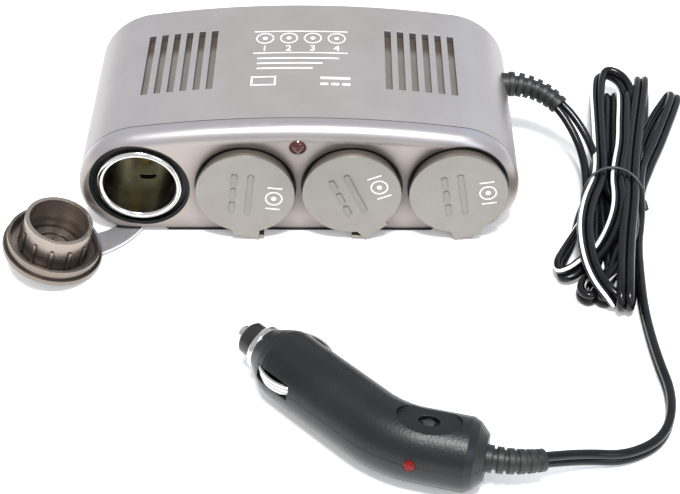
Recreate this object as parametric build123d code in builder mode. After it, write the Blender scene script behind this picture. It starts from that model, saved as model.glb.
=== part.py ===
"""Four-way splitter for a car cigarette lighter socket: an arched silver housing with four sockets,
each with a tethered cap, a flat twin cord in a tied hank and a bent plug with a fuse inside.
Millimetres. Origin on the table under the middle of the housing, +Z up, sockets face -Y."""
import math
import os

from build123d import *

os.makedirs("parts", exist_ok=True)

# Housing
case_top = 39.4           # crown of the arched top above the table
arch_r = 330.0            # radius of the arched top
corner_r = 21.0           # radius of the upper shoulders
face_y = -33.5            # flat of the front panel
back_y = 33.5             # back wall
seam_y = -27.5            # joint between front panel and shells
part_z = 21.5             # joint between top cover and lower case
wall = 2.0                # shell wall
panel_t = 3.0             # face of the front panel
edge_r = 4.5              # rounded border of the front panel
edge_drop = 3.3           # how far that rounding runs out below the bottom edge
back_r = 3.0              # rounded back edge
base_t = 2.0              # base plate under the case
base_front = -32.3
base_back = 29.0
vent_n = 6                # slots on each side
vent_w = 2.0
vent_pitch = 3.93
vent_x = 36.8             # middle of each group
vent_y0 = -12.0
vent_y1 = 18.5
post_ys = (-9.0, 23.0)    # screw posts, between the sockets
post_r = 3.2
post_z = 12.0             # height at which cover posts meet case posts
screw_r = 1.3
screw_head_r = 2.5

# Sockets
socket_n = 4
pitch = 31.6
end_margin = 18.6         # from the axis of an end socket to the side of the case
case_w = (socket_n - 1) * pitch + 2 * end_margin
base_half_w = (socket_n - 1) * pitch / 2 - 5.9
post_x = pitch
axis_z = 18.2
hole_r = 15.0             # hole in the front panel
bore_r = 10.7             # standard 12 V socket bore
tube_t = 0.6              # sheet of the barrel
rim_r = 12.75             # rolled rim
rim_front = -33.7
floor_y = 9.0             # outside of the barrel floor
collar_in = 14.2          # recess around the rim
collar_front = -33.1
collar_floor = -31.6
step_y = floor_y - 4.6      # the bore narrows a little behind this, beside the centre contact
stud_r = 1.5
washer_r = 7.0            # insulating washer behind the barrel
washer_spigot = 4.9
bus_t = 0.6
bus_half_h = 9.5
bus_half_w = (socket_n - 1) * pitch / 2 + 8.6
fit_gap = 0.05            # between parts that seat in each other

# Caps
cap_r = 14.65
cap_front = -37.2         # outer face of a closed cap
cap_t = 1.5
lip_out = 13.8
lip_in = 12.95
lip_h = 3.0
cup_r = 9.9
cup_t = 1.2
cup_h = 10.7
rib_r = 10.35
rib_n = 12
strap_w = 5.0
strap_t = 1.0
strap_z = 0.7             # underside of a strap
strap_dx = 2.5            # strap line beside the socket axis
peg_y = -20.0
peg_r = 1.5
peg_head_r = 2.5
cap_travel = 12.0         # how far a cap pulls out before its strap stops it

# Cord
cord_d = 4.9              # width of the flat twin cord
neck_r = 3.6              # neck of both strain reliefs
relief_y = 13.6           # where the cord leaves the right side of the case
plug_z = 10.0             # axis of the plug lying on the table
plug_r = 9.8
plug_in = 7.8
split_rise = 2.6          # joint of the two plug shells above the plug axis
nose_r = 4.7
bend = (25.7, -123.5)     # corner of the plug axis
front_deg = -43.7         # heading from tip to bend
rear_deg = -14.0          # heading from bend to cord
bend_r = 30.0
tip_travel = 2.0


def socket_x(i):
    """Centre of socket i (0 at the left)."""
    return (i - (socket_n - 1) / 2) * pitch


def facing(y):
    """Plane at depth y, X to the right, Z up; a positive extrusion runs to the front."""
    return Plane(origin=(0, y, 0), x_dir=(1, 0, 0), z_dir=(0, -1, 0))


def case_outline(inset, drop=0.0):
    """Arched section of the housing, moved in by inset, its flat bottom lowered by drop."""
    a = case_w / 2 - inset
    top = case_top - inset
    ra = arch_r - inset
    rt = corner_r - inset
    bottom = base_t + inset - drop
    xc = a - rt
    za = top - ra
    zc = za + math.sqrt((ra - rt) ** 2 - xc ** 2)
    k = ra / (ra - rt)
    px, pz = xc * k, za + (zc - za) * k
    half = math.atan2(pz - zc, px - xc) / 2
    mx, mz = xc + rt * math.cos(half), zc + rt * math.sin(half)
    rb = zc - bottom
    bx, bz = a - rb + rb * math.sin(math.pi / 4), zc - rb * math.cos(math.pi / 4)
    with BuildLine() as outline:
        Line((rb - a, bottom), (a - rb, bottom))
        ThreePointArc((a - rb, bottom), (bx, bz), (a, zc))
        ThreePointArc((a, zc), (mx, mz), (px, pz))
        ThreePointArc((px, pz), (0, top), (-px, pz))
        ThreePointArc((-px, pz), (-mx, mz), (-a, zc))
        ThreePointArc((-a, zc), (-bx, bz), (rb - a, bottom))
    return outline.edges()


def turned(x, z, points):
    """Solid of revolution about the depth axis through (x, z); points are (radius, y)."""
    with BuildPart() as solid:
        with BuildSketch(Plane((x, 0, z))):
            with BuildLine():
                Polyline(*points, close=True)
            make_face()
        revolve(axis=Axis((x, 0, z), (0, 1, 0)))
    return solid.part


def spun(origin, heading, points):
    """Solid of revolution about a level axis; points are (distance along it, radius)."""
    u = (math.cos(heading), math.sin(heading), 0)
    with BuildPart() as solid:
        with BuildSketch(Plane(origin, x_dir=u, z_dir=(0, 0, 1))):
            with BuildLine():
                Polyline(*points, close=True)
            make_face()
        revolve(axis=Axis(origin, u))
    return solid.part


def arc_frame(start, d0, d1, length, t):
    """Point and direction at fraction t of an arc that turns from d0 to d1 over a length."""
    d0, d1 = Vector(*d0).normalized(), Vector(*d1).normalized()
    turn = math.acos(d0.dot(d1))
    side = (d1 - d0 * math.cos(turn)).normalized()
    r = length / turn
    a = turn * t
    return Vector(*start) + (d0 * math.sin(a) + side * (1 - math.cos(a))) * r, d0 * math.cos(a) + side * math.sin(a)


def rounded_route(points):
    """Radii for the inner corners of a cord route, each as large as its two runs allow."""
    radii = []
    for a, b, c in zip(points, points[1:], points[2:]):
        d0, d1 = Vector(*b) - Vector(*a), Vector(*c) - Vector(*b)
        turn = math.acos(max(-1, min(1, d0.normalized().dot(d1.normalized()))))
        radii.append(0.45 * min(d0.length, d1.length) / math.tan(turn / 2))
    return radii


def tube(points, radius):
    """Round tube along straight runs with tangent arcs."""
    d0 = Vector(*points[1]) - Vector(*points[0])
    with BuildPart() as solid:
        with BuildLine() as path:
            FilletPolyline(*points, radius=rounded_route(points))
        with BuildSketch(Plane(points[0], z_dir=d0)):
            Circle(radius)
        sweep(path=path.line)
    return solid.part


# Top cover: arched shell with two groups of vent slots and four screw posts inside
with BuildPart() as top_cover:
    with BuildSketch(facing(back_y)):
        make_face(case_outline(0))
    extrude(amount=back_y - seam_y)
    fillet(top_cover.faces().sort_by(Axis.Y)[-1].edges(), radius=back_r)
    with BuildSketch(facing(back_y - wall)):
        make_face(case_outline(wall))
    extrude(amount=back_y - seam_y, mode=Mode.SUBTRACT)
    with BuildSketch(Plane.XY.offset(part_z)):
        Rectangle(2 * case_w, 4 * back_y)
    extrude(amount=case_top, mode=Mode.INTERSECT)
    with BuildSketch(Plane.XY.offset(case_top - wall)):
        for sx in (-1, 1):
            for y in post_ys:
                with Locations((sx * post_x, y)):
                    Circle(post_r)
    extrude(amount=post_z - case_top + wall)
    with BuildSketch(Plane.XY.offset(post_z)):
        for sx in (-1, 1):
            for y in post_ys:
                with Locations((sx * post_x, y)):
                    Circle(screw_r)
    extrude(amount=8.0, mode=Mode.SUBTRACT)
    with BuildSketch(Plane.XY.offset(case_top + 1)):
        for sx in (-1, 1):
            for k in range(vent_n):
                with Locations((sx * vent_x + (k - (vent_n - 1) / 2) * vent_pitch,
                                (vent_y0 + vent_y1) / 2)):
                    Rectangle(vent_w, vent_y1 - vent_y0)
    extrude(amount=-12.0, mode=Mode.SUBTRACT)
    with BuildSketch(Plane((case_w / 2 + 2, relief_y, part_z), z_dir=(1, 0, 0))):
        Circle(neck_r)
    extrude(amount=-8.0, mode=Mode.SUBTRACT)
top_cover.part.label = "top_cover"
export_step(top_cover.part, "parts/top_cover.step")

# Lower case: matching shell with screw posts, a cradle for the barrels and the strap pegs underneath
with BuildPart() as lower_case:
    with BuildSketch(facing(back_y)):
        make_face(case_outline(0))
    extrude(amount=back_y - seam_y)
    fillet(lower_case.faces().sort_by(Axis.Y)[-1].edges(), radius=back_r)
    with BuildSketch(facing(back_y - wall)):
        make_face(case_outline(wall))
    extrude(amount=back_y - seam_y, mode=Mode.SUBTRACT)
    with BuildSketch(Plane.XY.offset(part_z)):
        Rectangle(2 * case_w, 4 * back_y)
    extrude(amount=-part_z, mode=Mode.INTERSECT)
    rest_top = axis_z - bore_r - tube_t - fit_gap
    with BuildSketch(facing(2.0)):
        for i in range(socket_n):
            with Locations((socket_x(i), (base_t + rest_top) / 2)):
                Rectangle(9.0, rest_top - base_t)
    extrude(amount=2.0)
    with BuildSketch(Plane.XY.offset(base_t)):
        for sx in (-1, 1):
            for y in post_ys:
                with Locations((sx * post_x, y)):
                    Circle(post_r)
    extrude(amount=post_z - base_t)
    with BuildSketch(Plane.XY.offset(base_t - 1)):
        for sx in (-1, 1):
            for y in post_ys:
                with Locations((sx * post_x, y)):
                    Circle(screw_r)
    extrude(amount=post_z, mode=Mode.SUBTRACT)
    with BuildSketch(Plane.XY.offset(strap_z - 0.6)):
        for i in range(socket_n):
            with Locations((socket_x(i) + strap_dx, peg_y)):
                Circle(peg_head_r)
    extrude(amount=0.5)
    with BuildSketch(Plane.XY.offset(strap_z - 0.6)):
        for i in range(socket_n):
            with Locations((socket_x(i) + strap_dx, peg_y)):
                Circle(peg_r)
    extrude(amount=base_t + 1.0)
    with BuildSketch(Plane((case_w / 2 + 2, relief_y, part_z), z_dir=(1, 0, 0))):
        Circle(neck_r)
    extrude(amount=-8.0, mode=Mode.SUBTRACT)
lower_case.part.label = "lower_case"
export_step(lower_case.part, "parts/lower_case.step")

led_z = axis_z + hole_r - 0.1
led_r, led_h = 2.5, 1.4
dome_r = (led_r ** 2 + led_h ** 2) / (2 * led_h)
dome_half = math.asin(led_r / dome_r) / 2
board_y = face_y + panel_t + 4.0

# Front panel: one rounded bezel, its border running out to a plain edge at the bottom
with BuildPart() as front_panel:
    with BuildSketch(facing(seam_y)):
        make_face(case_outline(0, edge_drop))
    extrude(amount=seam_y - face_y)
    fillet(front_panel.faces().sort_by(Axis.Y)[0].edges(), radius=edge_r)
    with BuildSketch(facing(seam_y)):
        make_face(case_outline(0))
    extrude(amount=seam_y - face_y + 1, mode=Mode.INTERSECT)
    with BuildSketch(facing(seam_y)):
        make_face(case_outline(wall))
    extrude(amount=seam_y - face_y - panel_t, mode=Mode.SUBTRACT)
    with BuildSketch(facing(face_y + panel_t)):
        for i in range(socket_n):
            with Locations((socket_x(i), axis_z)):
                Circle(hole_r)
    extrude(amount=panel_t + 1, mode=Mode.SUBTRACT)
    with BuildSketch(facing(face_y + panel_t + 1)):
        with Locations((0, led_z)):
            Circle(led_r)
    extrude(amount=panel_t + 2, mode=Mode.SUBTRACT)
front_panel.part.label = "front_panel"
export_step(front_panel.part, "parts/front_panel.step")

# Base plate: flat black plate with open channels for the two middle straps
with BuildPart() as base_plate:
    with BuildSketch(Plane.XY):
        with BuildLine():
            Polyline((-base_half_w, base_back), (-base_half_w, base_front + 1.5), (-base_half_w + 1.5,
                                                                                   base_front),
                     (base_half_w - 1.5, base_front), (base_half_w, base_front + 1.5), (base_half_w,
                                                                                        base_back),
                     close=True)
        make_face()
        for i in (1, 2):
            with Locations((socket_x(i) + strap_dx, base_front + 15)):
                Rectangle(strap_w + 1.6, 31.0, mode=Mode.SUBTRACT)
    extrude(amount=base_t)
    with BuildSketch(Plane.XY):
        for sx in (-1, 1):
            for y in post_ys:
                with Locations((sx * post_x, y)):
                    Circle(screw_r)
    extrude(amount=base_t, mode=Mode.SUBTRACT)
    with BuildSketch(Plane.XY):
        for sx in (-1, 1):
            for y in post_ys:
                with Locations((sx * post_x, y)):
                    Circle(screw_head_r)
    extrude(amount=base_t / 2, mode=Mode.SUBTRACT)
base_plate.part.label = "base_plate"
export_step(base_plate.part, "parts/base_plate.step")

# Case screws: four pan heads sunk in the base plate, reaching into the cover posts
with BuildPart() as case_screws:
    with BuildSketch(Plane.XY.offset(0.2)):
        for sx in (-1, 1):
            for y in post_ys:
                with Locations((sx * post_x, y)):
                    Circle(screw_head_r)
    extrude(amount=base_t / 2 - 0.2)
    with BuildSketch(Plane.XY.offset(base_t / 2)):
        for sx in (-1, 1):
            for y in post_ys:
                with Locations((sx * post_x, y)):
                    Circle(screw_r)
    extrude(amount=post_z + 6 - base_t / 2)
case_screws.part.label = "case_screws"
export_step(case_screws.part, "parts/case_screws.step")

# Socket pieces, four of each: collar, barrel with rolled rim, insulating washer, centre contact
for i in range(socket_n):
    sx = socket_x(i)
    n = i + 1
    tube_r = bore_r + tube_t
    spigot_r = hole_r - 1.1
    collar_back = face_y + panel_t + 4.5
    collar = turned(sx, axis_z, [
        (collar_in, collar_front), (hole_r, collar_front), (hole_r, face_y + panel_t),
        (spigot_r, face_y + panel_t), (spigot_r, collar_back), (tube_r + fit_gap, collar_back),
        (tube_r + fit_gap, collar_floor), (collar_in, collar_floor)])
    collar.label = f"socket_collar_{n}"
    export_step(collar, f"parts/socket_collar_{n}.step")

    rim_mid = (bore_r + rim_r) / 2
    with BuildPart() as barrel:
        with BuildSketch(Plane((sx, 0, axis_z))):
            with BuildLine():
                Polyline((bore_r, rim_front + 0.8), (bore_r, step_y), (bore_r - 0.5, step_y),
                         (bore_r - 0.5, floor_y - tube_t), (washer_spigot, floor_y - tube_t),
                         (washer_spigot, floor_y), (tube_r, floor_y), (tube_r, collar_floor), (rim_r,
                                                                                               collar_floor),
                         (rim_r, rim_front + 0.8))
                ThreePointArc((rim_r, rim_front + 0.8), (rim_mid, rim_front), (bore_r, rim_front + 0.8))
            make_face()
        revolve(axis=Axis((sx, 0, axis_z), (0, 1, 0)))
        with BuildSketch(Plane((sx, -16.0, axis_z))):
            SlotOverall(5.0, 2.4)
        extrude(amount=-2 * bore_r, mode=Mode.SUBTRACT)
        with BuildSketch(Plane((sx, -14.0, axis_z), x_dir=(0, 1, 0), z_dir=(1, 0, 0))):
            SlotOverall(9.0, 2.4)
        extrude(amount=2 * bore_r, both=True, mode=Mode.SUBTRACT)
    barrel.part.label = f"socket_barrel_{n}"
    export_step(barrel.part, f"parts/socket_barrel_{n}.step")

    washer = turned(sx, axis_z, [
        (stud_r, floor_y - 1.6), (washer_spigot, floor_y - 1.6), (washer_spigot, floor_y), (washer_r,
                                                                                            floor_y),
        (washer_r, floor_y + 2), (stud_r, floor_y + 2)])
    washer.label = f"socket_insulator_{n}"
    export_step(washer, f"parts/socket_insulator_{n}.step")

    stud_end = floor_y + 2 + bus_t
    contact = turned(sx, axis_z, [
        (0, floor_y - 4.4), (2.2, floor_y - 4.0), (4.2, floor_y - 2.6), (4.2, floor_y - 1.6), (stud_r,
                                                                                               floor_y - 1.6),
        (stud_r, stud_end), (2.6, stud_end), (2.6, stud_end + 0.8), (0, stud_end + 0.8)])
    contact.label = f"socket_contact_{n}"
    export_step(contact, f"parts/socket_contact_{n}.step")

# Ground strip: flat on the barrel floors, holes clear of the insulating washers
with BuildPart() as ground_bus:
    with BuildSketch(facing(floor_y + bus_t)):
        with Locations((0, axis_z)):
            Rectangle(2 * bus_half_w, 2 * bus_half_h)
        for i in range(socket_n):
            with Locations((socket_x(i), axis_z)):
                Circle(washer_r + 0.6, mode=Mode.SUBTRACT)
    extrude(amount=bus_t)
ground_bus.part.label = "ground_bus"
export_step(ground_bus.part, "parts/ground_bus.step")

# Positive strip: held by the contact studs behind the insulating washers
with BuildPart() as positive_bus:
    with BuildSketch(facing(floor_y + 2 + bus_t)):
        with Locations((0, axis_z)):
            Rectangle(2 * bus_half_w, 10.0)
        for i in range(socket_n):
            with Locations((socket_x(i), axis_z)):
                Circle(stud_r, mode=Mode.SUBTRACT)
    extrude(amount=bus_t)
positive_bus.part.label = "positive_bus"
export_step(positive_bus.part, "parts/positive_bus.step")

# Pilot lamp in the front panel and the small board its leads stand in
with BuildPart() as panel_led:
    with BuildSketch(Plane((0, 0, led_z))):
        with BuildLine():
            Polyline((0, face_y + panel_t + 1), (2.9, face_y + panel_t + 1), (2.9, face_y + panel_t),
                     (led_r, face_y + panel_t), (led_r, face_y))
            ThreePointArc((led_r, face_y), (dome_r * math.sin(dome_half),
                                            face_y - led_h + dome_r * (1 - math.cos(dome_half))), (0,
                                                                                                   face_y - led_h))
            Line((0, face_y - led_h), (0, face_y + panel_t + 1))
        make_face()
    revolve(axis=Axis((0, 0, led_z), (0, 1, 0)))
    with BuildSketch(facing(board_y)):
        for dx in (-1.27, 1.27):
            with Locations((dx, led_z)):
                Rectangle(0.5, 0.5)
    extrude(amount=board_y - face_y - panel_t - 1)
panel_led.part.label = "panel_led"
export_step(panel_led.part, "parts/panel_led.step")

with BuildPart() as led_board:
    with BuildSketch(facing(board_y + 1.4)):
        with Locations((0, led_z)):
            Rectangle(10.0, 6.4)
    extrude(amount=1.4)
    with BuildSketch(facing(board_y + 3.0)):
        with Locations((0, led_z + 1)):
            Rectangle(5.0, 1.6)
    extrude(amount=1.6)
led_board.part.label = "led_board"
export_step(led_board.part, "parts/led_board.step")

with BuildPart() as led_wires:
    add(tube([(-3.0, board_y + 1.4, led_z - 1.5), (-3.0, floor_y + bus_t / 2, led_z - 1.5),
              (-3.0, floor_y + bus_t / 2, axis_z + bus_half_h)], 0.5))
    add(tube([(3.0, board_y + 1.4, led_z - 1.5), (3.0, floor_y + 2 + bus_t / 2, led_z - 1.5),
              (3.0, floor_y + 2 + bus_t / 2, axis_z + 5.0)], 0.5))
led_wires.part.label = "led_wires"
export_step(led_wires.part, "parts/led_wires.step")


def cap_head(base):
    """Disc, lip and ribbed cup of a cap; base is the plane of its outer face, its normal into the cup."""
    with BuildPart() as head:
        with BuildSketch(base):
            Circle(cap_r)
        extrude(amount=cap_t)
        with BuildSketch(base.offset(cap_t)):
            Circle(lip_out)
            Circle(lip_in, mode=Mode.SUBTRACT)
        extrude(amount=lip_h)
        with BuildSketch(base.offset(cap_t)):
            Circle(cup_r)
            Circle(cup_r - cup_t, mode=Mode.SUBTRACT)
        extrude(amount=cup_h)
        with BuildSketch(base.offset(cap_t)):
            with PolarLocations((cup_r + rib_r) / 2 - 0.15, rib_n):
                Rectangle(rib_r - cup_r + 0.3, 0.9)
        extrude(amount=cup_h - 3.6)
        with BuildSketch(base.offset(cap_t)):
            for r in (6.0, 3.2):
                Circle(r)
                Circle(r - 0.7, mode=Mode.SUBTRACT)
        extrude(amount=0.5)
    return head.part


# Closed caps: the fold tab of each strap as it hangs, then the strap in its channel with a slotted eye
fold_tabs = {
    1: [(-4.3, 7.0), (-4.45, 2.4), (3.6, strap_z), (3.9, 7.0)],
    2: [(1.7, 6.5), (1.8, 3.6), (4.1, strap_z), (10.8, 6.6), (9.6, 9.0)],
    3: [(-1.7, 6.0), (-1.6, 3.4), (-0.1, strap_z), (7.6, 2.9), (7.4, 7.0)],
}
for i, tab in fold_tabs.items():
    sx = socket_x(i)
    with BuildPart() as cap:
        add(cap_head(Plane((sx, cap_front, axis_z), x_dir=(1, 0, 0), z_dir=(0, 1, 0))))
        with BuildSketch(facing(cap_front + strap_t)):
            with BuildLine():
                Polyline(*[(sx + dx, z) for dx, z in tab], close=True)
            make_face()
        extrude(amount=strap_t)
        strap_end = peg_y + cap_travel + 4.2
        strap_front = cap_front + strap_t / 2
        with BuildSketch(Plane((sx + strap_dx, (strap_front + strap_end) / 2, strap_z))):
            Rectangle(strap_w, strap_end - strap_front)
        extrude(amount=strap_t)
        with BuildSketch(Plane((sx + strap_dx, peg_y + cap_travel / 2, strap_z))):
            SlotOverall(cap_travel + 2 * (peg_r + 0.2), 2 * (peg_r + 0.2), rotation=90)
        extrude(amount=strap_t, mode=Mode.SUBTRACT)
    cap.part.label = f"socket_cap_{i + 1}"
    export_step(cap.part, f"parts/socket_cap_{i + 1}.step")

# Open cap: lies cup up on the table, leaning a little to the housing, its strap drawn out to the peg
lean = math.radians(18.0)
cap1_x, cap1_y = -73.2, -46.6
peg1_x = socket_x(0) + strap_dx
strap_line = [(-63.8, -41.8, 4.8), (-61.2, -40.5, 4.6), (-57.4, -38.5, 4.1), (-54.0, -35.6, 3.7),
              (-51.0, -31.6, 3.3), (-48.0, -26.2, 3.0), (peg1_x, peg_y, 2.8), (peg1_x + 0.1,
                                                                               peg_y + 3.6, 2.4)]
left_side, right_side = [], []
for k, (x, y, h) in enumerate(strap_line):
    ax, ay = strap_line[max(k - 1, 0)][:2]
    bx, by = strap_line[min(k + 1, len(strap_line) - 1)][:2]
    run = math.hypot(bx - ax, by - ay)
    nx, ny = -(by - ay) / run, (bx - ax) / run
    left_side.append((x + nx * h, y + ny * h))
    right_side.append((x - nx * h, y - ny * h))
with BuildPart() as cap_open:
    add(cap_head(Plane((cap1_x, cap1_y, 0.2 + cap_r * math.sin(lean)),
                       x_dir=(math.cos(lean), 0, -math.sin(lean)), z_dir=(math.sin(lean), 0,
                                                                          math.cos(lean)))))
    with BuildSketch(Plane.XY.offset(strap_z)):
        with BuildLine():
            Spline(*left_side)
            Line(left_side[-1], right_side[-1])
            Spline(*reversed(right_side))
            Line(right_side[0], left_side[0])
        make_face()
    extrude(amount=strap_t)
    before_x, before_y = strap_line[-3][:2]
    slot_dir = math.degrees(math.atan2(peg_y - before_y, peg1_x - before_x))
    slot_len = 8.0
    with BuildSketch(Plane((peg1_x - math.cos(math.radians(slot_dir)) * slot_len / 2,
                            peg_y - math.sin(math.radians(slot_dir)) * slot_len / 2, strap_z))):
        SlotOverall(slot_len + 2 * (peg_r + 0.2), 2 * (peg_r + 0.2), rotation=slot_dir)
    extrude(amount=strap_t, mode=Mode.SUBTRACT)
cap_open.part.label = "socket_cap_1"
export_step(cap_open.part, "parts/socket_cap_1.step")


def ribbed_relief(start, d0, d1, length, r0, r1, ribs, bore_back, flange_r):
    """Moulded strain relief: flange and neck held by the case, then shallow ribs on a core that bends."""
    with BuildPart() as body:
        with BuildSketch(Plane(start - d0 * bore_back, z_dir=d0)):
            Circle(neck_r)
        extrude(amount=bore_back)
        with BuildSketch(Plane(start - d0 * (bore_back + 1.4), z_dir=d0)):
            Circle(flange_r)
        extrude(amount=1.4)
        rib_share = 0.62
        rib_depth = 1.0
        step = 1.0 / (ribs - 1 + rib_share)
        before = start
        for k in range(ribs):
            p, d = arc_frame(start, d0, d1, length, step * (k + rib_share) if k else 0.0)
            rib_out = r0 + (r1 - r0) * k / (ribs - 1)
            with BuildSketch(Plane(p, z_dir=d)):
                Circle(rib_out)
            extrude(amount=length * step * rib_share * (-1 if k else 1))
            middle = arc_frame(start, d0, d1, length, step * (k + rib_share / 2))[0]
            with BuildSketch(Plane(before, z_dir=middle - before)):
                Circle(max(rib_out - rib_depth, cord_d / 2 + 0.3))
            extrude(amount=(middle - before).length)
            before = middle
    return body.part


# Strain relief of the case: clamped in the joint of the two shells, curving down to the table
exit_dir = Vector(0.66, -0.60, -0.45).normalized()
relief_neck = 5.6
relief_len = 18.0
relief_start = Vector(case_w / 2, relief_y, part_z)
case_relief = ribbed_relief(relief_start, Vector(1, 0, 0), exit_dir, relief_len, 4.0, 3.15, 7,
                            relief_neck, 4.4)
case_relief.label = "case_relief"
export_step(case_relief, "parts/case_relief.step")

# Inner conductors: from the relief to the two strips
with BuildPart() as supply_wires:
    wire_x = case_w / 2 - relief_neck - 1.4
    wire_r = 1.05
    add(tube([(wire_x, relief_y, part_z - 1.1), (wire_x - 4.0, relief_y, part_z - 1.1),
              (bus_half_w - 4.6, floor_y + 2 + bus_t + wire_r, axis_z)], wire_r))
    add(tube([(wire_x, relief_y, part_z + 1.1), (wire_x - 2.5, relief_y, part_z + 1.1),
              (bus_half_w - 2.0, floor_y + bus_t + wire_r, axis_z + bus_half_h - 2)], wire_r))
supply_wires.part.label = "supply_wires"
export_step(supply_wires.part, "parts/supply_wires.step")

# Cord from the case to the hank
relief_tip = arc_frame(relief_start, (1, 0, 0), exit_dir, relief_len, 1.0)[0]
in_end = (90.6, -14.5, 10.5)
in_route = [tuple(relief_tip), tuple(relief_tip + exit_dir * 8.0), (89.0, -6.3, in_end[2]), in_end]
cord_lead_in = tube(in_route, cord_d / 2)
cord_lead_in.label = "cord_lead_in"
export_step(cord_lead_in, "parts/cord_lead_in.step")

# Hank: the tied bundle as one body, waisted where the tie goes round
in_x, in_y = in_end[0] - 89.0, in_end[1] + 6.3
in_len = math.hypot(in_x, in_y)
fx, fy = -in_y / in_len, in_x / in_len
out_start = (104.2, -26.0, cord_d / 2 + 0.3)
out_next = (103.1, -40.0, cord_d / 2 + 0.3)
out_x, out_y = out_next[0] - out_start[0], out_next[1] - out_start[1]
out_len = math.hypot(out_x, out_y)
gx, gy = -out_y / out_len, out_x / out_len
hank_side = [
    (in_end[0] - 2.8 * fx, in_end[1] - 2.8 * fy), (in_end[0] + 2.8 * fx, in_end[1] + 2.8 * fy),
    (92.6, 2.0), (91.0, 28.0), (95.0, 42.0), (104.0, 48.0), (112.0, 46.5), (118.0, 40.0), (127.0,
                                                                                           33.0),
                                                                                           (126.5, 25.0),
    (116.0, 2.0), (108.5, -14.0), (out_start[0] + 2.8 * gx, out_start[1] + 2.8 * gy),
    (out_start[0] - 2.8 * gx, out_start[1] - 2.8 * gy),
    (99.6, -40.0), (97.6, -56.0), (97.6, -67.0), (94.5, -71.5), (86.0, -70.5), (79.0, -66.5), (74.5, -57.0),
    (76.0, -49.0), (82.5, -36.0), (86.2, -25.0)]
hank_z0, hank_z1 = 0.3, 15.0
tie_y, tie_w, tie_t = -19.5, 1.6, 0.7
tie_x0, tie_x1 = 86.9, 107.6
with BuildPart() as cord_hank:
    with BuildSketch(Plane.XY.offset(hank_z0)):
        with BuildLine():
            Polyline(*hank_side, close=True)
        make_face()
    extrude(amount=hank_z1 - hank_z0)
    with BuildSketch(facing(tie_y + tie_w / 2)):
        with Locations(((tie_x0 + tie_x1) / 2, (hank_z0 + hank_z1) / 2)):
            Rectangle(2 * (tie_x1 - tie_x0), 2 * hank_z1)
            Rectangle(tie_x1 - tie_x0 - 2 * tie_t, hank_z1 - hank_z0 - 2 * tie_t, mode=Mode.SUBTRACT)
    extrude(amount=tie_w, mode=Mode.SUBTRACT)
cord_hank.part.label = "cord_hank"
export_step(cord_hank.part, "parts/cord_hank.step")

# Tie: a thin wire-cored strip round the waist of the hank with its twisted tail at the right
with BuildPart() as cord_tie:
    with BuildSketch(facing(tie_y + tie_w / 2)):
        with Locations(((tie_x0 + tie_x1) / 2, (hank_z0 + hank_z1) / 2)):
            Rectangle(tie_x1 - tie_x0, hank_z1 - hank_z0)
            Rectangle(tie_x1 - tie_x0 - 2 * tie_t, hank_z1 - hank_z0 - 2 * tie_t, mode=Mode.SUBTRACT)
    extrude(amount=tie_w)
cord_tie.part.label = "cord_tie"
export_step(cord_tie.part, "parts/cord_tie.step")

# Plug axis, front and rear
front_h, rear_h = math.radians(front_deg), math.radians(rear_deg)
u1 = Vector(math.cos(front_h), math.sin(front_h), 0)
u2 = Vector(math.cos(rear_h), math.sin(rear_h), 0)
n1 = Vector(-math.sin(front_h), math.cos(front_h), 0)
knee = Vector(bend[0], bend[1], plug_z)
shell_front, shoulder, rear_end = -45.5, -37.5, 24.6
rear_wall = rear_end - 5.0


def plug_solid(radius, s0, s1):
    """Round bar along the bent plug axis from s0 (before the bend) to s1 (after it)."""
    with BuildPart() as bar:
        with BuildLine() as path:
            FilletPolyline(knee + u1 * s0, knee, knee + u2 * s1, radius=bend_r)
        with BuildSketch(Plane(knee + u1 * s0, z_dir=u1)):
            Circle(radius)
        sweep(path=path.line)
    return bar.part


# Plug shells: a bent, hollow grip split level along its axis
contact_s0, contact_s1, contact_h = -39.8, -28.8, 3.6
lift = Vector(0, 0, split_rise)
grip = plug_solid(plug_r, shoulder, rear_end - 4.5)
nose_taper = spun(knee, front_h, [(shell_front, 0), (shell_front, 6.3), (-41.6, 8.5), (-39.2, 9.55),
                                  (shoulder, plug_r),
                                  (shoulder, 0)])
rear_taper = spun(knee, rear_h, [(rear_end - 4.5, 0), (rear_end - 4.5, plug_r), (rear_end - 2.5, 8.8),
                                 (rear_end, 6.2),
                                 (rear_end, 0)])
hollow = plug_solid(plug_in, -40.0, rear_wall)
front_bore = spun(knee, front_h, [(shell_front - 1, 0), (shell_front - 1, 3.8), (-39.0, 3.8), (-39.0, 0)])
rear_bore = spun(knee, rear_h, [(rear_wall - 1, 0), (rear_wall - 1, neck_r), (rear_end + 1, neck_r),
                                (rear_end + 1, 0)])
seat = spun(knee, front_h, [(-11.5, 0), (-11.5, plug_in), (-10.0, plug_in), (-10.0, 0)])
n2 = Vector(-math.sin(rear_h), math.cos(rear_h), 0)
screw_at = knee + u2 * 9.2 + n2 * 1.4
scoop_z, screw_seat = plug_r - 1.5, plug_r - 3.2
led_lift = math.asin(split_rise / plug_r)
led_dir = n2 * -math.cos(led_lift) + Vector(0, 0, math.sin(led_lift))
led_at = knee + u2 * 6.5 + led_dir * plug_r


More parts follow.
